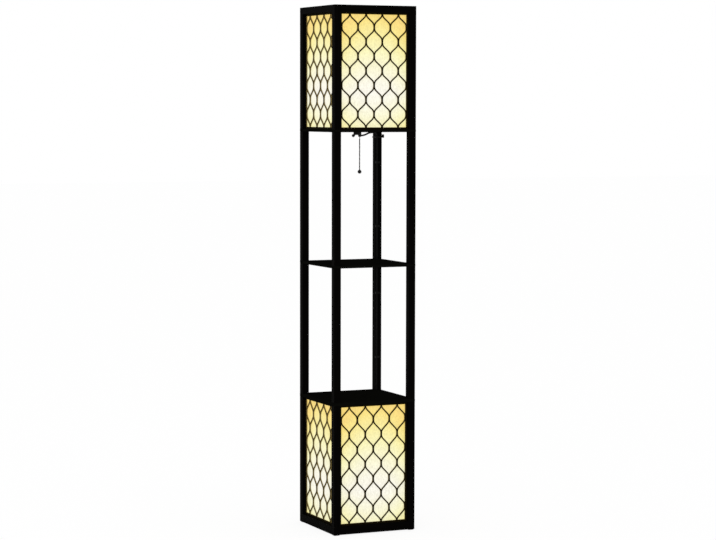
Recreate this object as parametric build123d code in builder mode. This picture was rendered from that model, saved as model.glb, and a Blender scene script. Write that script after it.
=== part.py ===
from build123d import *

import math
import os

os.makedirs("parts", exist_ok=True)

# A square shelf floor lamp. Two light boxes with lattice sides, one at the top and one at
# the bottom, are joined by four posts and a middle shelf. Every board is a full square, and
# the posts stand between the boards on threaded studs.
# Millimetres. The origin is the middle of the footprint, on the floor. Front is -Y.

# Overall size and levels above the floor
frame_width = 260.0
overall_height = 1544.0
upper_box_underside = 1177.0
middle_shelf_height = 790.5
lower_box_height = 391.0

# Timber sections
post_side = 21.0
post_ease = 0.8
shelf_thickness = 8.0
lower_top_thickness = 10.0
board_ease = 0.8
top_rail_height = 20.0
bottom_rail_height = 23.5
foot_pad_thickness = 2.0
foot_pad_side = 16.0
tenon_length = 7.0
tenon_thickness = 6.0
tenon_shoulder = 3.0
tenon_clearance = 0.1

# Studs that join the posts through the boards
stud_radius = 3.0
stud_grip = 18.0
stud_clearance = 0.1

# Lattice panels and the translucent sheets behind them
panel_recess = 10.0
lattice_thickness = 3.0
diffuser_thickness = 1.0
lattice_border = 6.0
groove_depth = 5.0
rail_groove_depth = 4.0
groove_clearance = 0.1
panel_end_clearance = 0.3

# Ogee lattice
cells_across = 4
periods_tall = 4
strand_width = 3.2
node_width = 5.4
node_length = 18.5
node_overrun = 4.5
corner_cut = 5.0

# Lampholders and bulbs
holder_radius = 18.0
holder_skirt_radius = 20.5
holder_height = 48.0
holder_step_height = 22.0
holder_floor = 24.0
holder_bar_width = 34.0
holder_bar_thickness = 8.0
holder_bar_housing = 6.0
holder_bar_clearance = 0.1
nipple_radius = 5.0
nipple_bore_radius = 3.4
nipple_clearance = 0.1
nut_across_flats = 14.0
nut_thickness = 3.0
cap_radius = 13.0
cap_length = 24.0
cap_clearance = 0.4
contact_radius = 5.0
contact_height = 2.0
globe_radius = 30.0
globe_centre_height = 56.0
globe_neck_radius = 12.6
globe_neck_slope = 30.0

# Pull switch under the upper box, its bead chain and its ball
switch_radius = 11.5
switch_depth = 9.4
switch_ease = 2.4
switch_recess_depth = 3.4
nozzle_offset = 7.4
nozzle_radius = 5.2
nozzle_taper = 18.0
nozzle_depth = 15.0
nozzle_lip = 1.8
pocket_radius = 2.9
pocket_roof = 3.8
plunger_head_radius = 2.6
plunger_head_thickness = 1.5
plunger_rod_radius = 1.2
mouth_clearance = 0.4
moving_gap = 0.3
gland_sides = 6
grip_lug_width = 6.0
grip_lug_thickness = 5.0
grip_lug_knob_radius = 4.6
grip_lug_knob_half = 3.6
grip_lug_knob_taper = 16.0
grip_lug_reach = 13.0
grip_lug_drop = 11.3
bead_apothem = 1.7
waist_apothem = 0.6
swivel_radius = 1.6
swivel_facet_angles = (-70, -25, 25, 70)
bead_pitch = 4.0
bead_length = 3.4
bead_ease = 0.8
bead_sides = 6
bead_count = 23
pull_ball_radius = 5.8

# Lead from the switch down the rear right post to the lower lampholder
lead_radius = 2.6
lead_hole_clearance = 0.6
lead_straight = 16.0
lead_entry_height = 9.0
gland_radius = 3.6
gland_reach = 8.0
gland_depth = 11.4
clip_height = 6.0
clip_wall = 1.6
clip_ear_length = 7.0
clip_ear_thickness = 2.0
clip_clearance = 0.1
tie_thickness = 1.0
tie_height = 3.6
tie_drop = 17.6
tie_slack = 2.2
tie_fit = 0.3
tie_head_width = 8.0
tie_head_depth = 4.0
tie_head_height = 10.0

# Places that follow from the sizes above
half_width = frame_width / 2
inner_half = half_width - post_side
clear_width = 2 * inner_half
post_centre = half_width - post_side / 2
stud_hole_radius = stud_radius + stud_clearance
slot_width = lattice_thickness + diffuser_thickness + 2 * groove_clearance
middle_shelf_underside = middle_shelf_height - shelf_thickness
upper_floor_top = upper_box_underside + shelf_thickness
lower_top_underside = lower_box_height - lower_top_thickness
top_rail_underside = overall_height - top_rail_height
bottom_rail_top = foot_pad_thickness + bottom_rail_height
upper_panel_top = top_rail_underside + rail_groove_depth - panel_end_clearance
lower_panel_top = lower_top_underside - panel_end_clearance
panel_width = clear_width + 2 * (groove_depth - panel_end_clearance)
window_width = clear_width - 2 * lattice_border
top_tenon_low = top_rail_underside + rail_groove_depth + tenon_shoulder
top_tenon_high = overall_height - tenon_shoulder
bottom_tenon_low = foot_pad_thickness + tenon_shoulder
bottom_tenon_high = bottom_rail_top - tenon_shoulder

CORNERS = {"front_left": (-1, -1), "front_right": (1, -1), "rear_left": (-1, 1), "rear_right": (1, 1)}
SIDES = {"front": (0, -1), "right": (1, 0), "rear": (0, 1), "left": (-1, 0)}


def keep(builder, name):
    """Label a finished piece and write it."""
    builder.part.label = name
    export_step(builder.part, f"parts/{name}.step")


def side_plane(side, depth):
    """An upright plane on one side of the lamp, depth inside its outer face. Its y is the height."""
    out_x, out_y = SIDES[side]
    reach = half_width - depth
    return Plane(origin=(out_x * reach, out_y * reach, 0), x_dir=(-out_y, out_x, 0), z_dir=(out_x, out_y, 0))


# --- posts ---


def plain_post(name, corner, low, high):
    """A straight length of square post."""
    side_x, side_y = CORNERS[corner]
    with BuildPart() as post:
        with BuildSketch(Plane.XY.offset(low)):
            with Locations((side_x * post_centre, side_y * post_centre)):
                Rectangle(post_side, post_side)
        extrude(amount=high - low)
        chamfer(post.edges().filter_by(Axis.Z), post_ease)
        for end, into in ((low, stud_grip), (high, -stud_grip)):
            with BuildSketch(Plane.XY.offset(end)):
                with Locations((side_x * post_centre, side_y * post_centre)):
                    Circle(stud_hole_radius)
            extrude(amount=into, mode=Mode.SUBTRACT)
    keep(post, name)


def grooved_post(name, corner, low, high, groove_low, groove_high, tenon_low, tenon_high, stud_end):
    """A light-box post: two grooves hold the edges of the panels, two mortises take the tenons of
    the rails, and one end takes a stud."""
    side_x, side_y = CORNERS[corner]
    across = inner_half + groove_depth / 2
    along = half_width - panel_recess + groove_clearance - slot_width / 2
    mortise_depth = tenon_length + tenon_clearance
    mortise_width = tenon_thickness + 2 * tenon_clearance
    mortise_across = inner_half + mortise_depth / 2
    with BuildPart() as post:
        with BuildSketch(Plane.XY.offset(low)):
            with Locations((side_x * post_centre, side_y * post_centre)):
                Rectangle(post_side, post_side)
        extrude(amount=high - low)
        chamfer(post.edges().filter_by(Axis.Z), post_ease)
        with BuildSketch(Plane.XY.offset(groove_low)):
            with Locations((side_x * across, side_y * along)):
                Rectangle(groove_depth, slot_width)
            with Locations((side_x * along, side_y * across)):
                Rectangle(slot_width, groove_depth)
        extrude(amount=groove_high - groove_low, mode=Mode.SUBTRACT)
        with BuildSketch(Plane.XY.offset(tenon_low - tenon_clearance)):
            with Locations((side_x * mortise_across, side_y * post_centre)):
                Rectangle(mortise_depth, mortise_width)
            with Locations((side_x * post_centre, side_y * mortise_across)):
                Rectangle(mortise_width, mortise_depth)
        extrude(amount=tenon_high - tenon_low + 2 * tenon_clearance, mode=Mode.SUBTRACT)
        with BuildSketch(Plane.XY.offset(stud_end)):
            with Locations((side_x * post_centre, side_y * post_centre)):
                Circle(stud_hole_radius)
        into = stud_grip if stud_end == low else -stud_grip
        extrude(amount=into, mode=Mode.SUBTRACT)
    keep(post, name)


for corner in CORNERS:
    grooved_post(
        f"lower_box_post_{corner}", corner, foot_pad_thickness, lower_top_underside,
        bottom_rail_top, lower_top_underside,
        bottom_tenon_low, bottom_tenon_high, lower_top_underside,
    )
    plain_post(f"lower_bay_post_{corner}", corner, lower_box_height, middle_shelf_underside)
    plain_post(f"upper_bay_post_{corner}", corner, middle_shelf_height, upper_box_underside)
    grooved_post(
        f"upper_box_post_{corner}", corner, upper_floor_top, overall_height,
        upper_floor_top, upper_panel_top + panel_end_clearance,
        top_tenon_low, top_tenon_high, upper_floor_top,
    )

stud_joints = (
    (lower_top_underside, lower_box_height),
    (middle_shelf_underside, middle_shelf_height),
    (upper_box_underside, upper_floor_top),
)
with BuildPart() as post_studs:
    for low, high in stud_joints:
        with BuildSketch(Plane.XY.offset(low - stud_grip)):
            with GridLocations(2 * post_centre, 2 * post_centre, 2, 2):
                Circle(stud_radius)
        extrude(amount=high - low + 2 * stud_grip)
keep(post_studs, "post_studs")

with BuildPart() as foot_pads:
    with BuildSketch():
        with GridLocations(2 * post_centre, 2 * post_centre, 2, 2):
            Rectangle(foot_pad_side, foot_pad_side)
    extrude(amount=foot_pad_thickness)
keep(foot_pads, "foot_pads")


# --- boards and rails ---

lead_x = inner_half + lead_radius + post_ease
lead_y = inner_half - lead_radius - clip_clearance


def board(name, underside, thickness, hole_radius, hole_x, hole_y):
    """A full square board, eased along its edges, with the four stud holes and one more."""
    with BuildPart() as plate:
        with BuildSketch(Plane.XY.offset(underside)):
            Rectangle(frame_width, frame_width)
            with GridLocations(2 * post_centre, 2 * post_centre, 2, 2):
                Circle(stud_hole_radius, mode=Mode.SUBTRACT)
            with Locations((hole_x, hole_y)):
                Circle(hole_radius, mode=Mode.SUBTRACT)
        extrude(amount=thickness)
        outside = plate.faces().filter_by(Axis.Z).edges().filter_by(GeomType.LINE)
        chamfer(outside, board_ease)
    keep(plate, name)


lead_hole_radius = lead_radius + lead_hole_clearance
board("lower_box_top", lower_top_underside, lower_top_thickness, lead_hole_radius, lead_x, lead_y)
board("middle_shelf", middle_shelf_underside, shelf_thickness, lead_hole_radius, lead_x, lead_y)
board("upper_box_floor", upper_box_underside, shelf_thickness, nipple_radius + nipple_clearance, 0, 0)

tenon_depth = (post_side - tenon_thickness) / 2
tenoned_width = clear_width + 2 * tenon_length
housing_width = holder_bar_width + 2 * holder_bar_clearance

for side in SIDES:
    with BuildPart() as rail:
        with BuildSketch(side_plane(side, 0)):
            with Locations((0, overall_height - top_rail_height / 2)):
                Rectangle(clear_width, top_rail_height)
        extrude(amount=-post_side)
        with BuildSketch(side_plane(side, tenon_depth)):
            with Locations((0, (top_tenon_low + top_tenon_high) / 2)):
                Rectangle(tenoned_width, top_tenon_high - top_tenon_low)
        extrude(amount=-tenon_thickness)
        with BuildSketch(side_plane(side, panel_recess - groove_clearance)):
            with Locations((0, top_rail_underside + rail_groove_depth / 2)):
                Rectangle(clear_width, rail_groove_depth)
        extrude(amount=-slot_width, mode=Mode.SUBTRACT)
    keep(rail, f"top_rail_{side}")

    with BuildPart() as rail:
        with BuildSketch(side_plane(side, 0)):
            with Locations((0, foot_pad_thickness + bottom_rail_height / 2)):
                Rectangle(clear_width, bottom_rail_height)
        extrude(amount=-post_side)
        with BuildSketch(side_plane(side, tenon_depth)):
            with Locations((0, (bottom_tenon_low + bottom_tenon_high) / 2)):
                Rectangle(tenoned_width, bottom_tenon_high - bottom_tenon_low)
        extrude(amount=-tenon_thickness)
        if side in ("front", "rear"):
            # the housing that carries one end of the lampholder bar
            with BuildSketch(side_plane(side, post_side)):
                with Locations((0, bottom_rail_top)):
                    Rectangle(housing_width, holder_bar_thickness, align=(Align.CENTER, Align.MAX))
            extrude(amount=holder_bar_housing + holder_bar_clearance, mode=Mode.SUBTRACT)
    keep(rail, f"bottom_rail_{side}")


# --- lattice panels and diffusers ---


def slant_fall(pitch, period, reach, tip):
    """How far an opening's slanted edge falls from its tip to its side, so that the strand left
    between this edge and the next opening's is strand_width wide."""
    step = pitch / 2
    offset = (2 * tip - period / 2) * reach
    spread = step**2 - strand_width**2
    root = math.sqrt((step * offset) ** 2 - spread * (offset**2 - (strand_width * reach) ** 2))
    return (step * offset + root) / spread


def ogee_cell(pitch, period):
    """One opening of the lattice, centred on itself: two tips, two upright sides, eased shoulders."""
    reach = (pitch - node_width) / 2
    tip = (period - node_length) / 2
    side = tip - slant_fall(pitch, period, reach, tip)
    with BuildSketch() as cell:
        with BuildLine():
            Polyline(
                (0, tip), (reach, side), (reach, -side), (0, -tip), (-reach, -side), (-reach, side),
                close=True,
            )
        make_face()
        columns = cell.vertices().group_by(Axis.X)
        chamfer(columns[0] + columns[-1], corner_cut)
    return cell.sketch


def lattice_openings(width, height):
    """All openings of one lattice, cut off at its border. Every other column is half a period lower."""
    pitch = width / cells_across
    period = (height + 2 * node_overrun) / periods_tall
    cell = ogee_cell(pitch, period)
    with BuildSketch() as openings:
        with GridLocations(pitch, period, cells_across, periods_tall):
            add(cell)
        with GridLocations(pitch, period, cells_across + 1, periods_tall + 1):
            add(cell)
        Rectangle(width, height, mode=Mode.INTERSECT)
    return openings.sketch


def panel_set(box_name, low, high, visible_high):
    """Four lattices and four diffusers of one light box. They stand on low and end at high."""
    window_low = low + lattice_border
    window_high = visible_high - lattice_border
    openings = lattice_openings(window_width, window_high - window_low)
    for side in SIDES:
        with BuildPart() as lattice:
            with BuildSketch(side_plane(side, panel_recess)):
                with Locations((0, (low + high) / 2)):
                    Rectangle(panel_width, high - low)
                with Locations((0, (window_low + window_high) / 2)):
                    add(openings, mode=Mode.SUBTRACT)
            extrude(amount=-lattice_thickness)
        keep(lattice, f"{box_name}_lattice_{side}")

        with BuildPart() as diffuser:
            with BuildSketch(side_plane(side, panel_recess + lattice_thickness)):
                with Locations((0, (low + high) / 2)):
                    Rectangle(panel_width, high - low)
            extrude(amount=-diffuser_thickness)
        keep(diffuser, f"{box_name}_diffuser_{side}")


panel_set("lower", bottom_rail_top, lower_panel_top, lower_top_underside)
panel_set("upper", upper_floor_top, upper_panel_top, top_rail_underside)


# --- lampholders and bulbs ---

with BuildPart() as lower_lampholder_bar:
    with BuildSketch(Plane.XY.offset(bottom_rail_top - holder_bar_thickness)):
        Rectangle(holder_bar_width, clear_width + 2 * holder_bar_housing)
        Circle(nipple_radius + nipple_clearance, mode=Mode.SUBTRACT)
    extrude(amount=holder_bar_thickness)
keep(lower_lampholder_bar, "lower_lampholder_bar")


def lampholder(name, seat):
    """A two-step cup, bored for the bulb's cap, on the plane at seat."""
    bore = cap_radius + cap_clearance
    thread = nipple_radius + nipple_clearance
    with BuildPart() as holder:
        with BuildSketch(Plane.XZ):
            with BuildLine():
                Polyline(
                    (thread, seat), (holder_radius, seat), (holder_radius, seat + holder_step_height),
                    (holder_skirt_radius, seat + holder_step_height + holder_skirt_radius - holder_radius),
                    (holder_skirt_radius, seat + holder_height), (bore, seat + holder_height),
                    (bore, seat + holder_floor), (0, seat + holder_floor),
                    (0, seat + holder_floor / 2), (thread, seat + holder_floor / 2), close=True,
                )
            make_face()
        revolve(axis=Axis.Z)
    keep(holder, name)


def bulb(box_name, seat):
    """A round bulb: its screw cap stands on the lampholder's floor, and its globe on the cap."""
    tip_low = seat + holder_floor
    cap_low = tip_low + contact_height
    neck_low = cap_low + cap_length
    slope = math.radians(globe_neck_slope)
    centre = neck_low + globe_centre_height
    cone_top = (globe_radius * math.cos(slope), centre - globe_radius * math.sin(slope))
    cone_run = (cone_top[0] - globe_neck_radius) / math.sin(slope)
    cone_low = cone_top[1] - cone_run * math.cos(slope)
    with BuildPart() as whole:
        with BuildSketch(Plane.XZ):
            with BuildLine():
                Polyline(
                    (0, tip_low), (contact_radius, tip_low), (contact_radius, cap_low),
                    (cap_radius, cap_low), (cap_radius, neck_low), (globe_neck_radius, neck_low),
                    (globe_neck_radius, cone_low), cone_top,
                )
                ThreePointArc(cone_top, (globe_radius, centre), (0, centre + globe_radius))
                Line((0, centre + globe_radius), (0, tip_low))
            make_face()
        revolve(axis=Axis.Z)
    keep(whole, f"{box_name}_bulb")


for box_name, seat in (("lower", bottom_rail_top), ("upper", upper_floor_top)):
    lampholder(f"{box_name}_lampholder", seat)
    bulb(box_name, seat)

nipple_spans = (
    (bottom_rail_top - holder_bar_thickness - nut_thickness, bottom_rail_top + holder_floor / 2),
    (upper_box_underside - switch_recess_depth, upper_floor_top + holder_floor / 2),
)
with BuildPart() as lampholder_nipples:
    for low, high in nipple_spans:
        with BuildSketch(Plane.XY.offset(low)):
            Circle(nipple_radius)
            Circle(nipple_bore_radius, mode=Mode.SUBTRACT)
        extrude(amount=high - low)
keep(lampholder_nipples, "lampholder_nipples")

with BuildPart() as lampholder_nuts:
    for high in (bottom_rail_top - holder_bar_thickness, upper_box_underside):
        with BuildSketch(Plane.XY.offset(high)):
            RegularPolygon(nut_across_flats / 2, 6, major_radius=False)
            Circle(nipple_radius, mode=Mode.SUBTRACT)
        extrude(amount=-nut_thickness)
keep(lampholder_nuts, "lampholder_nuts")


# --- pull switch, chain and ball ---

nozzle_low = upper_box_underside - nozzle_depth
pocket_high = upper_box_underside - pocket_roof
gland_height = upper_box_underside - gland_depth
lead_aim = Vector(lead_x - nozzle_offset, lead_y, 0).normalized()
nozzle_axis = Vector(nozzle_offset, 0, gland_height)

with BuildPart() as switch_housing:
    with BuildSketch(Plane.XY.offset(upper_box_underside)):
        Circle(switch_radius)
    extrude(amount=-switch_depth)
    chamfer(switch_housing.faces().sort_by(Axis.Z)[0].edges(), switch_ease)
    # a boss at the side, which narrows below the disc to the nozzle's mouth
    with BuildSketch(Plane.XY.offset(upper_box_underside)):
        with Locations((nozzle_offset, 0)):
            Circle(nozzle_radius)
    extrude(amount=-switch_depth)
    with BuildSketch(Plane(origin=(nozzle_offset, 0, upper_box_underside - switch_depth), z_dir=(0, 0, -1))):
        Circle(nozzle_radius)
    extrude(amount=nozzle_depth - switch_depth, taper=nozzle_taper)
    # the gland that the lead leaves by
    with BuildSketch(Plane(origin=nozzle_axis, z_dir=lead_aim)):
        RegularPolygon(gland_radius, gland_sides, major_radius=False)
    extrude(amount=gland_reach)
    # the cord-grip lug on the other side, a short sloping arm with a knob
    lug_root = Vector(-switch_radius / 2, 0, upper_box_underside - switch_depth / 2)
    lug_end = Vector(-grip_lug_reach, 0, upper_box_underside - grip_lug_drop)
    with BuildSketch(Plane(origin=lug_root, x_dir=(0, 1, 0), z_dir=lug_end - lug_root)):
        Rectangle(grip_lug_width, grip_lug_thickness)
    extrude(amount=(lug_end - lug_root).length)
    with BuildSketch(Plane(origin=lug_end, x_dir=(0, 1, 0), z_dir=lug_end - lug_root)):
        Circle(grip_lug_knob_radius)
    extrude(amount=grip_lug_knob_half, both=True, taper=grip_lug_knob_taper)
    # room for the nipple and its nut
    with BuildSketch(Plane.XY.offset(upper_box_underside)):
        RegularPolygon(nut_across_flats / 2 + moving_gap, 6, major_radius=False)
    extrude(amount=-switch_recess_depth, mode=Mode.SUBTRACT)
    # the plunger's pocket and the mouth below it
    with BuildSketch(Plane.XY.offset(pocket_high)):
        with Locations((nozzle_offset, 0)):
            Circle(pocket_radius)
    extrude(amount=nozzle_low + nozzle_lip - pocket_high, mode=Mode.SUBTRACT)
    with BuildSketch(Plane.XY.offset(nozzle_low)):
        with Locations((nozzle_offset, 0)):
            Circle(plunger_rod_radius + mouth_clearance)
    extrude(amount=nozzle_lip, mode=Mode.SUBTRACT)
keep(switch_housing, "switch_housing")

pivot_height = nozzle_low - moving_gap - swivel_radius - nozzle_lip
rod_low = pivot_height + swivel_radius + moving_gap
head_high = pocket_high - moving_gap

with BuildPart() as switch_plunger:
    with BuildSketch(Plane.XY.offset(head_high)):
        with Locations((nozzle_offset, 0)):
            Circle(plunger_head_radius)
    extrude(amount=-plunger_head_thickness)
    with BuildSketch(Plane.XY.offset(head_high)):
        with Locations((nozzle_offset, 0)):
            Circle(plunger_rod_radius)
    extrude(amount=rod_low - head_high)
keep(switch_plunger, "switch_plunger")

# a turned bead with flat facets, round the point that the chain swings about
nozzle_line = Axis((nozzle_offset, 0, 0), (0, 0, 1))
swivel_rim = []
for facet_angle in swivel_facet_angles:
    turned = math.radians(facet_angle)
    swivel_rim.append((swivel_radius * math.cos(turned), swivel_radius * math.sin(turned)))
with BuildPart() as chain_swivel:
    with BuildSketch(Plane(origin=(nozzle_offset, 0, pivot_height), x_dir=(1, 0, 0), z_dir=(0, -1, 0))):
        with BuildLine():
            Polyline((0, swivel_rim[0][1]), *swivel_rim, (0, swivel_rim[-1][1]), close=True)
        make_face()
    revolve(axis=nozzle_line)
keep(chain_swivel, "chain_swivel")

chain_high = pivot_height - swivel_radius - moving_gap
# faceted beads, eased at both ends, on a thin hexagonal core
chain_low = chain_high - bead_count * bead_pitch
with BuildPart() as bead:
    with BuildSketch():
        RegularPolygon(bead_apothem, bead_sides, major_radius=False)
    extrude(amount=bead_length / 2, both=True)
    chamfer(bead.faces().filter_by(Axis.Z).edges(), bead_ease)
bead_places = [(nozzle_offset, 0, chain_high - (number + 0.5) * bead_pitch) for number in range(bead_count)]
with BuildPart() as pull_chain:
    with BuildSketch(Plane(origin=(nozzle_offset, 0, chain_low))):
        RegularPolygon(waist_apothem, bead_sides, major_radius=False)
    extrude(amount=chain_high - chain_low)
    with Locations(*bead_places):
        add(bead.part)
keep(pull_chain, "pull_chain")

# the ball, with a small flat on top where the chain's last waist meets it
ball_flat_radius = 2 * waist_apothem
ball_flat_height = math.sqrt(pull_ball_radius**2 - ball_flat_radius**2)
ball_middle = Vector(nozzle_offset, 0, chain_low - ball_flat_height)
with BuildPart() as pull_ball:
    with BuildSketch(Plane(origin=ball_middle, x_dir=(1, 0, 0), z_dir=(0, -1, 0))):
        with BuildLine():
            ThreePointArc(
                (ball_flat_radius, ball_flat_height), (pull_ball_radius, 0), (0, -pull_ball_radius)
            )
            Polyline((0, -pull_ball_radius), (0, ball_flat_height), (ball_flat_radius, ball_flat_height))
        make_face()
    revolve(axis=nozzle_line)
keep(pull_ball, "pull_ball")


# --- lead, its clips and its tie ---

lead_start = nozzle_axis + lead_aim * gland_reach
lower_holder_side = holder_radius / math.sqrt(2)
lower_entry_height = bottom_rail_top + lead_entry_height
lead_points = [
    lead_start,
    lead_start + lead_aim * lead_straight,
    Vector(45, 40, upper_box_underside - 9.0),
    Vector(66, 62, upper_box_underside - 3.8),
    Vector(87, 83, upper_box_underside - 2.9),
    Vector(lead_x - 7.4, lead_y - 7.4, upper_box_underside - 3.2),
    Vector(lead_x, lead_y, upper_box_underside - 13.4),
    Vector(lead_x, lead_y, bottom_rail_top + 46),
    Vector(lead_x - 7, lead_y - 7, bottom_rail_top + 8),
    Vector(80, 76, bottom_rail_top - 9),
    Vector(48, 46, bottom_rail_top - 8),
    Vector(31, 31, lower_entry_height),
    Vector(lower_holder_side, lower_holder_side, lower_entry_height),
]


def bend_radii(points):
    """The largest arc that each corner of a route has room for."""
    radii = []
    for before, here, after in zip(points, points[1:], points[2:]):
        turn = math.radians((here - before).get_angle(after - here))
        shorter = min((here - before).length, (after - here).length)
        radii.append(0.45 * shorter / math.tan(turn / 2))
    return radii


lead_radii = bend_radii(lead_points)
print("lead bend radii, mm:", [round(radius, 1) for radius in lead_radii])

with BuildPart() as lead:
    with BuildLine() as lead_route:
        FilletPolyline(*lead_points, radius=lead_radii)
    with BuildSketch(lead_route.line ^ 0):
        Circle(lead_radius)
    sweep()
lead_length = lead_route.wires()[0].length
print("lead length, mm:", round(lead_length, 1))
print("lead volume over section times length:", lead.part.volume / (math.pi * lead_radius**2 * lead_length))
keep(lead, "lead")


channel_radius = lead_radius + clip_clearance
clip_reach = channel_radius + clip_wall
clip_depth = inner_half - lead_y + clip_reach
bays = ((lower_box_height, middle_shelf_underside), (middle_shelf_height, upper_box_underside))
with BuildPart() as lead_clips:
    for low, high in bays:
        for share in (0.25, 0.75):
            with BuildSketch(Plane.XY.offset(low + share * (high - low))):
                with Locations((lead_x, inner_half)):
                    Rectangle(2 * clip_reach, clip_depth, align=(Align.CENTER, Align.MAX))
                    Rectangle(clip_reach + clip_ear_length, clip_ear_thickness, align=(Align.MIN, Align.MAX))
                    Rectangle(
                        2 * channel_radius, inner_half - lead_y,
                        align=(Align.CENTER, Align.MAX), mode=Mode.SUBTRACT,
                    )
                with Locations((lead_x, lead_y)):
                    Circle(channel_radius, mode=Mode.SUBTRACT)
            extrude(amount=clip_height)
keep(lead_clips, "lead_clips")

# a tie round the post and the lead, with its upright head on the outer side of the post
tie_middle = upper_box_underside - tie_drop
tie_front = lead_y - lead_radius - tie_slack
tie_left = inner_half - tie_fit
with BuildPart() as lead_tie:
    with BuildSketch(Plane.XY.offset(tie_middle - tie_height / 2)):
        with Locations(((tie_left + half_width) / 2, (tie_front + half_width) / 2)):
            Rectangle(half_width - tie_left + 2 * tie_thickness, half_width - tie_front + 2 * tie_thickness)
            Rectangle(half_width - tie_left, half_width - tie_front, mode=Mode.SUBTRACT)
    extrude(amount=tie_height)
    with BuildSketch(Plane.XY.offset(tie_middle - tie_height / 2)):
        with Locations((half_width, tie_front)):
            Rectangle(tie_head_depth, tie_head_width, align=(Align.MIN, Align.MIN))
    extrude(amount=tie_head_height)
keep(lead_tie, "lead_tie")
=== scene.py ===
import math

import bmesh
import bpy
from mathutils import Matrix, Vector


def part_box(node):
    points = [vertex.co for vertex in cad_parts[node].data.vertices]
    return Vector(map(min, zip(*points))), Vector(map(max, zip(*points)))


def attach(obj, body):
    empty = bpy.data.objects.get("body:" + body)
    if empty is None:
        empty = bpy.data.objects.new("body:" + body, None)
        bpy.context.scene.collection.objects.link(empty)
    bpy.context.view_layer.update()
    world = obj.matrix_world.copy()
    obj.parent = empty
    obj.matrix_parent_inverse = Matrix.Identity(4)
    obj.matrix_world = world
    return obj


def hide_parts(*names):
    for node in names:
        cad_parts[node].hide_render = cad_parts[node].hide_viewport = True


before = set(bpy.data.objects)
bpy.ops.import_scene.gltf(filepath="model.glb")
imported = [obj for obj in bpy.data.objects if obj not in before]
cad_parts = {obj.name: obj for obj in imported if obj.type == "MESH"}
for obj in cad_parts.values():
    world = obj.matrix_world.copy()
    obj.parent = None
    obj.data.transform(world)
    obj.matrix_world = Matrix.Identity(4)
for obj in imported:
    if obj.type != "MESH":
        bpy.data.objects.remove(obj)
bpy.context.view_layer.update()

# The looks of a shelf floor lamp: black posts and boards, two light boxes with an ogee lattice
# over glowing linen, and a bead-chain pull switch. Metres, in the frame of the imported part.

MM = 0.001

# Driving sizes and counts that the frame doesn't give by itself
LATTICE_BORDER = 6.0 * MM
STRAND_WIDTH = 3.7 * MM
NODE_WIDTH = 4.9 * MM
NODE_LENGTH = 18.6 * MM
NODE_OVERRUN = 4.5 * MM
SHOULDER_RADIUS = 15.0 * MM
FLARE_RADIUS = SHOULDER_RADIUS + STRAND_WIDTH
CELLS_ACROSS = 4
PERIODS_TALL = 4
EASE = 0.5 * MM
BEAD_COUNT = 23
BEAD_RADIUS = 1.95 * MM
LINK_RADIUS = 0.8 * MM
BALL_COLLAR_RADIUS = 2.3 * MM
BALL_COLLAR_HEIGHT = 0.9 * MM
CONTACT_RADIUS = 5.0 * MM
CONTACT_TIP_RADIUS = 3.0 * MM
CONTACT_EASE = 0.6 * MM
CONTACT_HEIGHT = 2.0 * MM
CAP_RADIUS = 13.0 * MM
CAP_FOOT_RADIUS = 10.4 * MM
CAP_FOOT_RISE = 0.8 * MM
CAP_LENGTH = 24.0 * MM
THREAD_PITCH = 3.6 * MM
THREAD_DEPTH = 0.9 * MM
THREAD_FROM_FOOT = 3.2 * MM
THREAD_FROM_RIM = 4.4 * MM
NECK_RADIUS = 12.6 * MM
NECK_SLOPE = math.radians(30)
LEAD_DIAMETER = 5.2 * MM

# Steps and sides of the curved forms. A globe or ball ends at POLE_DEGREES, just short of its axis
ARC_STEPS = 6
EASE_SEGMENTS = 2
BEAD_STEPS = 8
BEAD_SIDES = 16
BALL_STEPS = 24
BALL_SIDES = 40
GLOBE_STEPS = 22
THREAD_STEPS = 44
BULB_SIDES = 48
LEAD_ROUND_STEPS = 5
LEAD_CURVE_STEPS = 16
LEAD_CURVE_ORDER = 3
POLE_DEGREES = 88.0

# Points within WELD are one, an edge that comes less than LEAST_STEP nearer to a line can't cross
# it, a face that faces outwards less than WALL_FACING is a wall, and an edge over SHARP_ANGLE is
# sharp
WELD = 0.01 * MM
LEAST_STEP = 1e-12
WALL_FACING = 0.5
SHARP_ANGLE = math.radians(40.0)

SIDES = {"front": (0, -1), "right": (1, 0), "rear": (0, 1), "left": (-1, 0)}


# --- camera: the photograph's view, worked out from its edges and vanishing points ---

CAMERA_DISTANCE = 6.742
CAMERA_AZIMUTH = -0.42
CAMERA_HEIGHT = 1.2485
CAMERA_PITCH = 0.0713
CAMERA_ROLL = 0.0019
CAMERA_YAW = 0.0004
IMAGE_WIDTH = 716
FOCAL_PIXELS = 2275.0
SENSOR_WIDTH = 36.0


def make_camera():
    """The camera looks at the lamp's axis from the left of its front."""
    data = bpy.data.cameras.new("camera")
    data.sensor_width = SENSOR_WIDTH
    data.lens = FOCAL_PIXELS * SENSOR_WIDTH / IMAGE_WIDTH
    camera = bpy.data.objects.new("camera", data)
    bpy.context.scene.collection.objects.link(camera)
    turn = Matrix.Rotation(CAMERA_AZIMUTH - CAMERA_YAW, 3, "Z")
    lift = Matrix.Rotation(math.pi / 2 - CAMERA_PITCH, 3, "X")
    tilt = Matrix.Rotation(CAMERA_ROLL, 3, "Z")
    camera.matrix_world = Matrix.Translation(
        (
            CAMERA_DISTANCE * math.sin(CAMERA_AZIMUTH),
            -CAMERA_DISTANCE * math.cos(CAMERA_AZIMUTH),
            CAMERA_HEIGHT,
        )
    ) @ (turn @ lift @ tilt).to_4x4()
    bpy.context.scene.camera = camera


make_camera()


# --- materials ---


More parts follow.
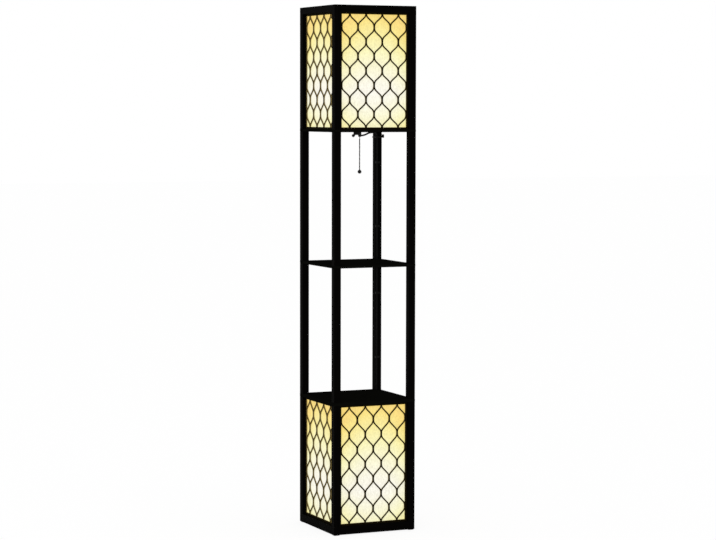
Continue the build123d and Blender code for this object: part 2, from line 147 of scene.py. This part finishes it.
class Shader:
    """A Principled material and short ways to add nodes to it."""

    def __init__(self, name, **sockets):
        self.material = bpy.data.materials.new(name)
        self.material.use_nodes = True
        self.nodes = self.material.node_tree.nodes
        self.links = self.material.node_tree.links
        self.surface = self.nodes["Principled BSDF"]
        for socket, value in sockets.items():
            self.surface.inputs[socket.replace("_", " ")].default_value = value
        self.place = self.add("ShaderNodeTexCoord").outputs["Object"]

    def add(self, kind, **values):
        node = self.nodes.new(kind)
        for name, value in values.items():
            setattr(node, name, value)
        return node

    def math(self, operation, first, second=0.0, third=0.0):
        node = self.add("ShaderNodeMath", operation=operation)
        for socket, value in zip(node.inputs, (first, second, third)):
            self.put(value, socket)
        return node.outputs[0]

    def put(self, value, socket):
        """Links an output to a socket, or writes a plain value there."""
        if isinstance(value, bpy.types.NodeSocket):
            self.links.new(value, socket)
        else:
            socket.default_value = value

    def stretched(self, scale):
        """Object space stretched by a scale for each axis."""
        node = self.add("ShaderNodeMapping")
        self.links.new(self.place, node.inputs["Vector"])
        node.inputs["Scale"].default_value = scale
        return node.outputs["Vector"]

    def noise(self, vector, scale, detail=3.0, roughness=0.55):
        node = self.add("ShaderNodeTexNoise")
        self.links.new(vector, node.inputs["Vector"])
        node.inputs["Scale"].default_value = scale
        node.inputs["Detail"].default_value = detail
        node.inputs["Roughness"].default_value = roughness
        return node.outputs["Fac"]

    def ramp(self, factor, stops):
        """A colour ramp with stops as (position, (r, g, b))."""
        node = self.add("ShaderNodeValToRGB")
        band = node.color_ramp
        band.elements[0].position, band.elements[1].position = stops[0][0], stops[-1][0]
        for position, _ in stops[1:-1]:
            band.elements.new(position)
        for element, (_, colour) in zip(band.elements, stops):
            element.color = (*colour, 1.0)
        self.links.new(factor, node.inputs["Fac"])
        return node.outputs["Color"]

    def between(self, factor, low, high):
        """A factor from 0 to 1 as a number from low to high."""
        return self.math("MULTIPLY_ADD", factor, high - low, low)

    def bump(self, height, strength, distance):
        node = self.add("ShaderNodeBump")
        node.inputs["Strength"].default_value = strength
        node.inputs["Distance"].default_value = distance
        self.links.new(height, node.inputs["Height"])
        self.links.new(node.outputs["Normal"], self.surface.inputs["Normal"])

    def set(self, socket, value):
        self.put(value, self.surface.inputs[socket])


# Noise lies mostly between these values, so a colour turns from dark to light between them
NOISE_LOW = 0.3
NOISE_HIGH = 0.7
FIBRE_HIGH = 0.72

PAINT_DARK = (0.0009, 0.0008, 0.0007)
PAINT_LIGHT = (0.0022, 0.0018, 0.0015)
PAINT_SPECULAR = 0.005
PAINT_ROUGHNESS = (0.45, 0.65)
PEEL_SCALE = 900.0
PEEL_SHARE = 0.25
TIMBER_BUMP = 0.35
TIMBER_RELIEF = 0.12 * MM

# Grain as noise scales: few along the fibres, many across them
ALONG_X = (14.0, 420.0, 420.0)
ALONG_Y = (420.0, 14.0, 420.0)
ALONG_Z = (420.0, 420.0, 14.0)
BOARD_GRAIN = (60.0, 260.0, 260.0)
LATTICE_GRAIN = (300.0, 300.0, 160.0)
CUT_GRAIN = (500.0, 500.0, 900.0)


def timber(name, grain, dark=PAINT_DARK, light=PAINT_LIGHT, specular=PAINT_SPECULAR):
    """Timber under a thin flat finish, black paint unless told otherwise: faint grain along one
    axis, fine orange peel."""
    shader = Shader(name, Specular_IOR_Level=specular)
    fibres = shader.noise(shader.stretched(grain), 1.0, detail=6.0, roughness=0.6)
    peel = shader.noise(shader.place, PEEL_SCALE, detail=2.0)
    shader.set("Base Color", shader.ramp(fibres, [(NOISE_LOW, dark), (FIBRE_HIGH, light)]))
    shader.set("Roughness", shader.between(fibres, *PAINT_ROUGHNESS))
    height = shader.math("MULTIPLY_ADD", peel, PEEL_SHARE, fibres)
    shader.bump(height, TIMBER_BUMP, TIMBER_RELIEF)
    return shader.material


wood_upright = timber("wood_upright", ALONG_Z)
wood_across = timber("wood_across", ALONG_X)
wood_deep = timber("wood_deep", ALONG_Y)
board_black = timber(
    "board_black", BOARD_GRAIN,
    dark=(0.0020, 0.0020, 0.0016), light=(0.0038, 0.0037, 0.0030), specular=0.0,
)
lattice_black = timber(
    "lattice_black", LATTICE_GRAIN, dark=(0.0050, 0.0036, 0.0012), light=(0.0100, 0.0072, 0.0022)
)
# the walls of the lattice openings, where the brown board shows
lattice_cut = timber("lattice_cut", CUT_GRAIN, dark=(0.15, 0.11, 0.04), light=(0.30, 0.23, 0.09))


# The sheets' glow is painted light: emission in the linen stands in for the bulb's light through it
# The glow's colour, from 0 in the middle of a sheet, level with the bulb, to 1 under the box's top
GLOW_STOPS = [
    (0.0, (1.0, 1.0, 0.96)),
    (0.14, (1.0, 1.0, 0.90)),
    (0.34, (1.0, 1.0, 0.73)),
    (0.54, (1.0, 0.98, 0.52)),
    (0.74, (1.0, 0.89, 0.30)),
    (0.90, (1.0, 0.78, 0.16)),
    (1.0, (1.0, 0.71, 0.13)),
]
# How much sooner it turns below the bulb, how much it turns at a sheet's side, and its clouds
GLOW_BELOW = -1.1
GLOW_BESIDE = 0.30
CLOUD_SCALE = 16.0
CLOUD_REACH = 0.05
UPRIGHT_THREADS = (1500.0, 1500.0, 60.0)
LEVEL_THREADS = (60.0, 60.0, 1500.0)
SLUB_SCALE = (320.0, 320.0, 200.0)
# Emission strengths of the painted glow
LINEN_BASE_LIGHT = 0.125
LINEN_WEAVE_LIGHT = 0.30
LINEN_SLUB_LIGHT = 0.60
LINEN_BUMP = 0.5
LINEN_RELIEF = 0.2 * MM


def linen_with_painted_glow(name, bulb_height, top_height, half_side):
    """Linen with a painted glow in place of the bulb's light shining through it: nearly white level with
    the bulb, yellow and then orange away from it, a little sooner at the sheet's sides, with threads
    and slubs that let less or more of the painted light by."""
    shader = Shader(
        name, Base_Color=(0.24, 0.21, 0.14, 1.0), Roughness=0.85, Specular_IOR_Level=0.1, Sheen_Weight=0.15
    )
    split = shader.add("ShaderNodeSeparateXYZ")
    shader.links.new(shader.place, split.inputs[0])
    x, y, z = split.outputs
    rise = shader.math("DIVIDE", shader.math("SUBTRACT", z, bulb_height), top_height - bulb_height)
    below = shader.math("MULTIPLY", rise, GLOW_BELOW)
    upright = shader.math("MAXIMUM", rise, below)
    reach = shader.math("ADD", shader.math("MULTIPLY", x, x), shader.math("MULTIPLY", y, y))
    beside = shader.math("SUBTRACT", reach, half_side**2)
    spread = shader.math("MULTIPLY_ADD", beside, GLOW_BESIDE / half_side**2, upright)
    cloud = shader.noise(shader.place, CLOUD_SCALE, detail=2.0)
    glow = shader.math("ADD", spread, shader.between(cloud, -CLOUD_REACH, CLOUD_REACH))
    upright_threads = shader.noise(shader.stretched(UPRIGHT_THREADS), 1.0, detail=2.0)
    level_threads = shader.noise(shader.stretched(LEVEL_THREADS), 1.0, detail=2.0)
    weave = shader.math("ADD", upright_threads, level_threads)
    slubs = shader.noise(shader.stretched(SLUB_SCALE), 1.0, detail=3.0, roughness=0.7)
    # painted glow: the emission colour and strength stand in for the bulb's light through the sheet
    shader.set("Emission Color", shader.ramp(glow, GLOW_STOPS))
    lit = shader.math("MULTIPLY_ADD", weave, LINEN_WEAVE_LIGHT, LINEN_BASE_LIGHT)
    shader.set("Emission Strength", shader.math("MULTIPLY_ADD", slubs, LINEN_SLUB_LIGHT, lit))
    shader.bump(weave, LINEN_BUMP, LINEN_RELIEF)
    return shader.material


MOULDED_DARKEST = 0.8
MOULDED_LIGHTEST = 1.2
MOULDED_SHEEN_SPREAD = 0.06
MOULDED_BUMP = 0.2
MOULDED_RELIEF = 0.06 * MM
PLATED_DARKEST = 0.75
PLATED_SHEEN_SPREAD = 0.08
PLATED_WEAR = (900.0, 900.0, 900.0)
PLATED_BUMP = 0.12
PLATED_RELIEF = 0.04 * MM


def moulded(name, colour, roughness, specular=0.3, grain=1400.0):
    """Moulded plastic or rubber with a fine even skin."""
    shader = Shader(name, Specular_IOR_Level=specular)
    skin = shader.noise(shader.place, grain, detail=2.0)
    dark = tuple(MOULDED_DARKEST * part for part in colour)
    light = tuple(MOULDED_LIGHTEST * part for part in colour)
    spread = MOULDED_SHEEN_SPREAD
    shader.set("Base Color", shader.ramp(skin, [(NOISE_LOW, dark), (NOISE_HIGH, light)]))
    shader.set("Roughness", shader.between(skin, roughness - spread, roughness + spread))
    shader.bump(skin, MOULDED_BUMP, MOULDED_RELIEF)
    return shader.material


def plated(name, colour, roughness):
    """Plated metal with faint wear in its polish."""
    shader = Shader(name, Metallic=1.0)
    wear = shader.noise(shader.stretched(PLATED_WEAR), 1.0, detail=4.0)
    dark = tuple(PLATED_DARKEST * part for part in colour)
    spread = PLATED_SHEEN_SPREAD
    shader.set("Base Color", shader.ramp(wear, [(NOISE_LOW, dark), (NOISE_HIGH, colour)]))
    shader.set("Roughness", shader.between(wear, roughness - spread, roughness + spread))
    shader.bump(wear, PLATED_BUMP, PLATED_RELIEF)
    return shader.material


chain_metal = plated("chain_metal", (0.022, 0.021, 0.020), 0.38)
zinc_metal = plated("zinc_metal", (0.62, 0.62, 0.60), 0.38)
cap_metal = plated("cap_metal", (0.72, 0.66, 0.52), 0.30)
ball_black = moulded("ball_black", (0.006, 0.0055, 0.005), 0.3, specular=0.15)
switch_black = moulded("switch_black", (0.006, 0.0055, 0.005), 0.45, specular=0.08)
holder_black = moulded("holder_black", (0.014, 0.013, 0.012), 0.45)
clip_black = moulded("clip_black", (0.006, 0.0055, 0.005), 0.55, specular=0.04)
lead_black = moulded("lead_black", (0.005, 0.0045, 0.0045), 0.6, specular=0.03, grain=700.0)
pad_felt = moulded("pad_felt", (0.045, 0.042, 0.040), 0.92, specular=0.05, grain=2600.0)


BULB_LIGHT_COLOUR = (1.0, 0.93, 0.74, 1.0)
BULB_LIGHT = (0.85, 1.0)
BULB_FROST_SCALE = 60.0


def frosted_glow():
    """A frosted bulb that is switched on."""
    shader = Shader("frosted_glow", Base_Color=(0.9, 0.86, 0.74, 1.0), Roughness=0.3)
    shader.set("Emission Color", BULB_LIGHT_COLOUR)
    frost = shader.noise(shader.place, BULB_FROST_SCALE)
    shader.set("Emission Strength", shader.between(frost, *BULB_LIGHT))
    return shader.material


bulb_glow = frosted_glow()


def dress(piece, material):
    """Gives a piece one material on all its faces."""
    piece.data.materials.clear()
    piece.data.materials.append(material)


# --- the lead, on the route of its tube ---

ROUTE_MM = [
    (13.02, 5.69, 1165.6), (24.27, 17.08, 1165.6), (45, 40, 1168.0), (66, 62, 1173.2), (87, 83, 1174.1),
    (105.0, 98.9, 1173.8), (112.4, 106.3, 1163.6), (112.4, 106.3, 1140.0), (112.4, 106.3, 110.0),
    (112.4, 106.3, 71.5), (105.4, 99.3, 33.5), (80, 76, 16.5), (48, 46, 17.5), (31, 31, 34.5),
    (12.73, 12.73, 34.5),
]


def make_lead():
    """The switch lead: one smooth line from the switch to the lower lampholder."""
    data = bpy.data.curves.new("switch_lead", "CURVE")
    data.dimensions = "3D"
    data.bevel_depth = LEAD_DIAMETER / 2
    data.bevel_resolution = LEAD_ROUND_STEPS
    data.resolution_u = LEAD_CURVE_STEPS
    data.use_fill_caps = True
    spline = data.splines.new("NURBS")
    spline.points.add(len(ROUTE_MM) - 1)
    for point, place in zip(spline.points, ROUTE_MM):
        point.co = (*(MM * part for part in place), 1.0)
    spline.order_u = LEAD_CURVE_ORDER
    spline.use_endpoint_u = True
    piece = bpy.data.objects.new("switch_lead", data)
    bpy.context.scene.collection.objects.link(piece)
    dress(piece, lead_black)
    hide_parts("lead")
    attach(piece, "frame")


make_lead()


# --- materials of the CAD nodes, also of those that a piece of this script stands in for ---


def node_material(name):
    """The material of a CAD node, by the words in its name."""
    if "_post_" in name:
        return wood_upright
    if "rail_front" in name or "rail_rear" in name:
        return wood_across
    if "rail_left" in name or "rail_right" in name:
        return wood_deep
    if "diffuser" in name:
        return linen_upper_painted_glow if name.startswith("upper") else linen_lower_painted_glow
    if "lattice" in name:
        return lattice_black
    named = {
        "lower_box_top": board_black, "middle_shelf": board_black, "upper_box_floor": board_black,
        "lower_lampholder_bar": board_black, "post_studs": zinc_metal, "lampholder_nipples": zinc_metal,
        "lampholder_nuts": zinc_metal, "foot_pads": pad_felt, "lower_lampholder": holder_black,
        "upper_lampholder": holder_black, "lower_bulb": bulb_glow, "upper_bulb": bulb_glow,
        "switch_housing": switch_black, "switch_plunger": chain_metal, "chain_swivel": chain_metal,
        "pull_chain": chain_metal, "pull_ball": ball_black, "lead": lead_black, "lead_clips": clip_black,
        "lead_tie": clip_black,
    }
    return named[name]


def globe_centre(node):
    """The height of the middle of a bulb's globe."""
    low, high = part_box(node)
    return high.z - (high.x - low.x) / 2


sheet_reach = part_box("upper_diffuser_right")[1].x
# The diffuser sheets' linen, with the bulbs' light painted on as emission
linen_upper_painted_glow = linen_with_painted_glow(
    "linen_upper_painted_glow", globe_centre("upper_bulb"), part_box("top_rail_front")[0].z, sheet_reach
)
linen_lower_painted_glow = linen_with_painted_glow(
    "linen_lower_painted_glow", globe_centre("lower_bulb"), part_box("lower_box_top")[0].z, sheet_reach
)
for node_name, node_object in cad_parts.items():
    dress(node_object, node_material(node_name))

for node_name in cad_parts:
    if "rail_" in node_name or node_name == "lower_lampholder_bar":
        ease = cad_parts[node_name].modifiers.new("ease", "BEVEL")
        ease.width = EASE
        ease.segments = EASE_SEGMENTS
        ease.limit_method = "ANGLE"


# --- lattices: ogee openings ---


def ogee_outline(pitch, period):
    """One opening about its own middle. Each quarter leaves its sharp tip along a hollow flare, runs
    straight, and turns upright round a shoulder. The flare lies one strand outside the next
    opening's shoulder, so the strands between the openings keep one width."""
    tip_angle = math.acos((NODE_WIDTH / 2 + SHOULDER_RADIUS) / FLARE_RADIUS)
    side_end = NODE_LENGTH / 2 - FLARE_RADIUS * math.sin(tip_angle)
    shoulder = Vector(((pitch - NODE_WIDTH) / 2 - SHOULDER_RADIUS, side_end))
    flare = Vector((NODE_WIDTH / 2 + SHOULDER_RADIUS, period / 2 - side_end))
    span = flare - shoulder
    slant = math.asin((SHOULDER_RADIUS + FLARE_RADIUS) / span.length) - math.atan2(span.x, span.y)
    quarter = []
    for number in range(ARC_STEPS + 1):
        angle = tip_angle + (slant - tip_angle) * number / ARC_STEPS
        quarter.append(flare - FLARE_RADIUS * Vector((math.cos(angle), math.sin(angle))))
    for number in range(ARC_STEPS + 1):
        angle = slant * (1 - number / ARC_STEPS)
        quarter.append(shoulder + SHOULDER_RADIUS * Vector((math.cos(angle), math.sin(angle))))
    right = quarter + [Vector((point.x, -point.y)) for point in reversed(quarter)]
    left = [Vector((-point.x, point.y)) for point in reversed(right)]
    return right + left[1:-1]


def clipped(outline, axis, limit, sign):
    """The part of an outline on one side of a line: sign * coordinate at most sign * limit."""
    kept = []
    for before, here in zip(outline[-1:] + outline[:-1], outline):
        past_before = sign * (before[axis] - limit)
        past_here = sign * (here[axis] - limit)
        if (past_before < 0) != (past_here < 0) and abs(past_here - past_before) > LEAST_STEP:
            kept.append(before.lerp(here, past_before / (past_before - past_here)))
        if past_here < 0:
            kept.append(here)
    return kept


def lattice_openings(width, height):
    """All openings of a window, about its middle, cut off at its border."""
    pitch = width / CELLS_ACROSS
    period = (height + 2 * NODE_OVERRUN) / PERIODS_TALL
    cell = ogee_outline(pitch, period)
    openings = []
    for extra in (0, 1):
        columns, rows = CELLS_ACROSS + extra, PERIODS_TALL + extra
        for column in range(columns):
            for row in range(rows):
                centre = Vector((pitch * (column - (columns - 1) / 2), period * (row - (rows - 1) / 2)))
                opening = [centre + point for point in cell]
                for axis, limit in ((0, width / 2), (1, height / 2)):
                    opening = clipped(opening, axis, limit, 1)
                    opening = clipped(opening, axis, -limit, -1) if opening else []
                if len(opening) > 2:
                    openings.append(opening)
    return openings


def pierced_plate(name, outlines, thickness):
    """A flat plate: the first outline is its rim, the others are its openings."""
    data = bpy.data.curves.new(name, "CURVE")
    data.dimensions = "2D"
    data.fill_mode = "BOTH"
    data.extrude = thickness / 2
    for outline in outlines:
        spline = data.splines.new("POLY")
        spline.points.add(len(outline) - 1)
        for point, place in zip(spline.points, outline):
            point.co = (place[0], place[1], 0.0, 1.0)
        spline.use_cyclic_u = True
    drawn = bpy.data.objects.new(name, data)
    mesh = bpy.data.meshes.new_from_object(drawn)
    bpy.data.objects.remove(drawn)
    sewn = bmesh.new()
    sewn.from_mesh(mesh)
    bmesh.ops.remove_doubles(sewn, verts=sewn.verts, dist=WELD)
    bmesh.ops.recalc_face_normals(sewn, faces=sewn.faces)
    sewn.to_mesh(mesh)
    sewn.free()
    piece = bpy.data.objects.new(name, mesh)
    bpy.context.scene.collection.objects.link(piece)
    return piece


def make_lattice(box_name, side, visible_high):
    """One lattice panel in place of its CAD node: black faces, and brown walls in its openings."""
    node = f"{box_name}_lattice_{side}"
    low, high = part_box(node)
    out = Vector((*SIDES[side], 0))
    along = Vector((-out.y, out.x, 0))
    panel_width = abs((high - low).dot(along))
    thickness = abs((high - low).dot(out))
    clear_width = 2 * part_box("upper_box_post_front_right")[0].x
    window_width = clear_width - 2 * LATTICE_BORDER
    window_low, window_high = low.z + LATTICE_BORDER, visible_high - LATTICE_BORDER
    middle = (window_low + window_high) / 2
    reach, foot, head = panel_width / 2, low.z - middle, high.z - middle
    rim = [(-reach, foot), (reach, foot), (reach, head), (-reach, head)]
    openings = lattice_openings(window_width, window_high - window_low)
    piece = pierced_plate(f"{node}_cut", [rim, *openings], thickness)
    centre = (low + high) / 2
    turn = Matrix((along, (0, 0, 1), out)).transposed().to_4x4()
    piece.data.transform(Matrix.Translation((centre.x, centre.y, middle)) @ turn)
    dress(piece, lattice_black)
    piece.data.materials.append(lattice_cut)
    for face in piece.data.polygons:
        face.material_index = int(abs(face.normal.dot(out)) < WALL_FACING)
    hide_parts(node)
    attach(piece, "frame")


for side_name in SIDES:
    make_lattice("upper", side_name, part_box("top_rail_front")[0].z)
    make_lattice("lower", side_name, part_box("lower_box_top")[0].z)


# --- turned pieces: bulbs, chain and ball ---


def surface_of(name, rings):
    """A closed mesh skinned over rings of points, with one flat face at each end."""
    mesh = bpy.data.meshes.new(name)
    count = len(rings[0])
    points = [point for level in rings for point in level]
    faces = []
    for row in range(len(rings) - 1):
        for step in range(count):
            here, following = row * count + step, row * count + (step + 1) % count
            faces.append((here, following, following + count, here + count))
    for end, order in ((0, -1), (len(rings) - 1, 1)):
        faces.append(tuple(end * count + step for step in range(count))[::order])
    mesh.from_pydata(points, [], faces)
    mesh.polygons.foreach_set("use_smooth", [True] * len(mesh.polygons))
    mesh.set_sharp_from_angle(angle=SHARP_ANGLE)
    piece = bpy.data.objects.new(name, mesh)
    bpy.context.scene.collection.objects.link(piece)
    return piece


def ring(centre, radius, height, count):
    """Points of a level circle round an upright line."""
    turns = (2 * math.pi * step / count for step in range(count))
    return [
        (centre.x + radius * math.cos(turn), centre.y + radius * math.sin(turn), height)
        for turn in turns
    ]


def turned(name, centre, profile, count):
    """A piece turned from a profile of (radius, height) pairs, from its low end to its high end."""
    return surface_of(name, [ring(centre, radius, height, count) for radius, height in profile])


def arc(radius, height, start, end, steps):
    """Profile points of an arc about a point on the upright line, between two angles in degrees."""
    angles = (math.radians(start + (end - start) * number / steps) for number in range(steps + 1))
    return [(radius * math.cos(angle), height + radius * math.sin(angle)) for angle in angles]


def replace_with(piece, node, material, body):
    """Puts a dressed piece in the place of a CAD node."""
    dress(piece, material)
    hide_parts(node)
    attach(piece, body)


def thread_ring(centre, height, low, high, count):
    """A level ring of the cap's helical thread, which fades out at both ends."""
    points = []
    fade = min(1.0, (height - low) / THREAD_PITCH, (high - height) / THREAD_PITCH)
    for step in range(count):
        share = step / count
        wave = 0.5 - 0.5 * math.cos(2 * math.pi * ((height - low) / THREAD_PITCH - share))
        radius = CAP_RADIUS - THREAD_DEPTH * wave * fade
        turn = 2 * math.pi * share
        points.append((centre.x + radius * math.cos(turn), centre.y + radius * math.sin(turn), height))
    return points


def make_bulb(node):
    """A frosted globe on a threaded screw cap, with its centre contact."""
    low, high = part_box(node)
    centre = Vector(((low.x + high.x) / 2, (low.y + high.y) / 2))
    globe_radius = (high.x - low.x) / 2
    globe_height = high.z - globe_radius
    cap_low = low.z + CONTACT_HEIGHT
    cap_high = cap_low + CAP_LENGTH
    thread_low, thread_high = cap_low + THREAD_FROM_FOOT, cap_high - THREAD_FROM_RIM
    cap_profile = [
        (CONTACT_TIP_RADIUS, low.z),
        (CONTACT_RADIUS, low.z + CONTACT_EASE),
        (CONTACT_RADIUS, cap_low),
        (CAP_FOOT_RADIUS, cap_low + CAP_FOOT_RISE),
        (CAP_RADIUS, thread_low),
    ]
    rings = [ring(centre, radius, height, BULB_SIDES) for radius, height in cap_profile]
    for number in range(1, THREAD_STEPS):
        height = thread_low + (thread_high - thread_low) * number / THREAD_STEPS
        rings.append(thread_ring(centre, height, thread_low, thread_high, BULB_SIDES))
    rings += [ring(centre, CAP_RADIUS, height, BULB_SIDES) for height in (thread_high, cap_high)]
    cap = surface_of(f"{node}_cap", rings)
    cone_width = globe_radius * math.cos(NECK_SLOPE)
    cone_top = globe_height - globe_radius * math.sin(NECK_SLOPE)
    cone_run = (cone_width - NECK_RADIUS) / math.sin(NECK_SLOPE)
    profile = [(NECK_RADIUS, cap_high), (NECK_RADIUS, cone_top - cone_run * math.cos(NECK_SLOPE))]
    profile += arc(globe_radius, globe_height, -math.degrees(NECK_SLOPE), POLE_DEGREES, GLOBE_STEPS)
    globe = turned(f"{node}_globe", centre, profile, BULB_SIDES)
    replace_with(globe, node, bulb_glow, "frame")
    dress(cap, cap_metal)
    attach(cap, "frame")


def make_chain():
    """Round beads on short links, as one turned piece."""
    low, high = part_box("pull_chain")
    centre = Vector(((low.x + high.x) / 2, (low.y + high.y) / 2))
    pitch = (high.z - low.z) / BEAD_COUNT
    bead_end = math.degrees(math.acos(LINK_RADIUS / BEAD_RADIUS))
    profile = [(LINK_RADIUS, low.z)]
    for number in range(BEAD_COUNT):
        profile += arc(BEAD_RADIUS, low.z + (number + 0.5) * pitch, -bead_end, bead_end, BEAD_STEPS)
    profile.append((LINK_RADIUS, high.z))
    chain = turned("bead_chain", centre, profile, BEAD_SIDES)
    replace_with(chain, "pull_chain", chain_metal, "pull")


def make_ball():
    """The pull ball, with a collar that closes on the chain."""
    low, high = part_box("pull_ball")
    centre = Vector(((low.x + high.x) / 2, (low.y + high.y) / 2))
    radius = (high.x - low.x) / 2
    collar_low = high.z - BALL_COLLAR_HEIGHT
    collar_angle = math.degrees(math.acos(BALL_COLLAR_RADIUS / radius))
    profile = arc(radius, low.z + radius, -POLE_DEGREES, collar_angle, BALL_STEPS)
    profile += [(BALL_COLLAR_RADIUS, collar_low), (BALL_COLLAR_RADIUS, high.z), (LINK_RADIUS, high.z)]
    ball = turned("turned_ball", centre, profile, BALL_SIDES)
    replace_with(ball, "pull_ball", ball_black, "pull")


make_bulb("lower_bulb")
make_bulb("upper_bulb")
make_chain()
make_ball()


# --- floor, backdrop and light ---

FLOOR_HALF = 30.0
FLOOR_COLOUR = 0.94
FLOOR_SHARE = 0.88
WORLD_STRENGTH = 1.0
SOFTBOX_PLACE = (-3.0, -3.2, 3.4)
SOFTBOX_TARGET = (0, 0, 0.8)
SOFTBOX_SIZE = 2.2
SOFTBOX_POWER = 30.0


def make_floor():
    """A pale floor. The camera sees it as mostly plain white, and the rest keeps the shadow."""
    mesh = bpy.data.meshes.new("floor")
    reach = FLOOR_HALF
    corners = [(-reach, -reach, 0), (reach, -reach, 0), (reach, reach, 0), (-reach, reach, 0)]
    mesh.from_pydata(corners, [], [(0, 1, 2, 3)])
    floor = bpy.data.objects.new("floor", mesh)
    bpy.context.scene.collection.objects.link(floor)
    pale = (FLOOR_COLOUR, FLOOR_COLOUR, FLOOR_COLOUR, 1.0)
    shader = Shader("floor_pale", Base_Color=pale, Roughness=0.9, Specular_IOR_Level=0.0)
    paths = shader.add("ShaderNodeLightPath")
    seen = shader.math("MULTIPLY", paths.outputs["Is Camera Ray"], FLOOR_SHARE)
    white = shader.add("ShaderNodeEmission")
    mix = shader.add("ShaderNodeMixShader")
    shader.links.new(seen, mix.inputs["Fac"])
    shader.links.new(shader.surface.outputs[0], mix.inputs[1])
    shader.links.new(white.outputs[0], mix.inputs[2])
    shader.links.new(mix.outputs[0], shader.nodes["Material Output"].inputs["Surface"])
    dress(floor, shader.material)


def make_world():
    """An even, plain white surround."""
    world = bpy.data.worlds.new("surround")
    bpy.context.scene.world = world
    world.use_nodes = True
    background = world.node_tree.nodes["Background"]
    background.inputs["Color"].default_value = (1.0, 1.0, 1.0, 1.0)
    background.inputs["Strength"].default_value = WORLD_STRENGTH


def make_softbox(name, place, target, size, power):
    """One large soft lamp, aimed at a point."""
    data = bpy.data.lights.new(name, "AREA")
    data.size = size
    data.energy = power
    lamp = bpy.data.objects.new(name, data)
    bpy.context.scene.collection.objects.link(lamp)
    lamp.location = place
    lamp.rotation_euler = (Vector(target) - Vector(place)).to_track_quat("-Z", "Y").to_euler()


make_floor()
make_world()
make_softbox("softbox_left", SOFTBOX_PLACE, SOFTBOX_TARGET, SOFTBOX_SIZE, SOFTBOX_POWER)
bpy.context.scene.view_settings.view_transform = "Standard"
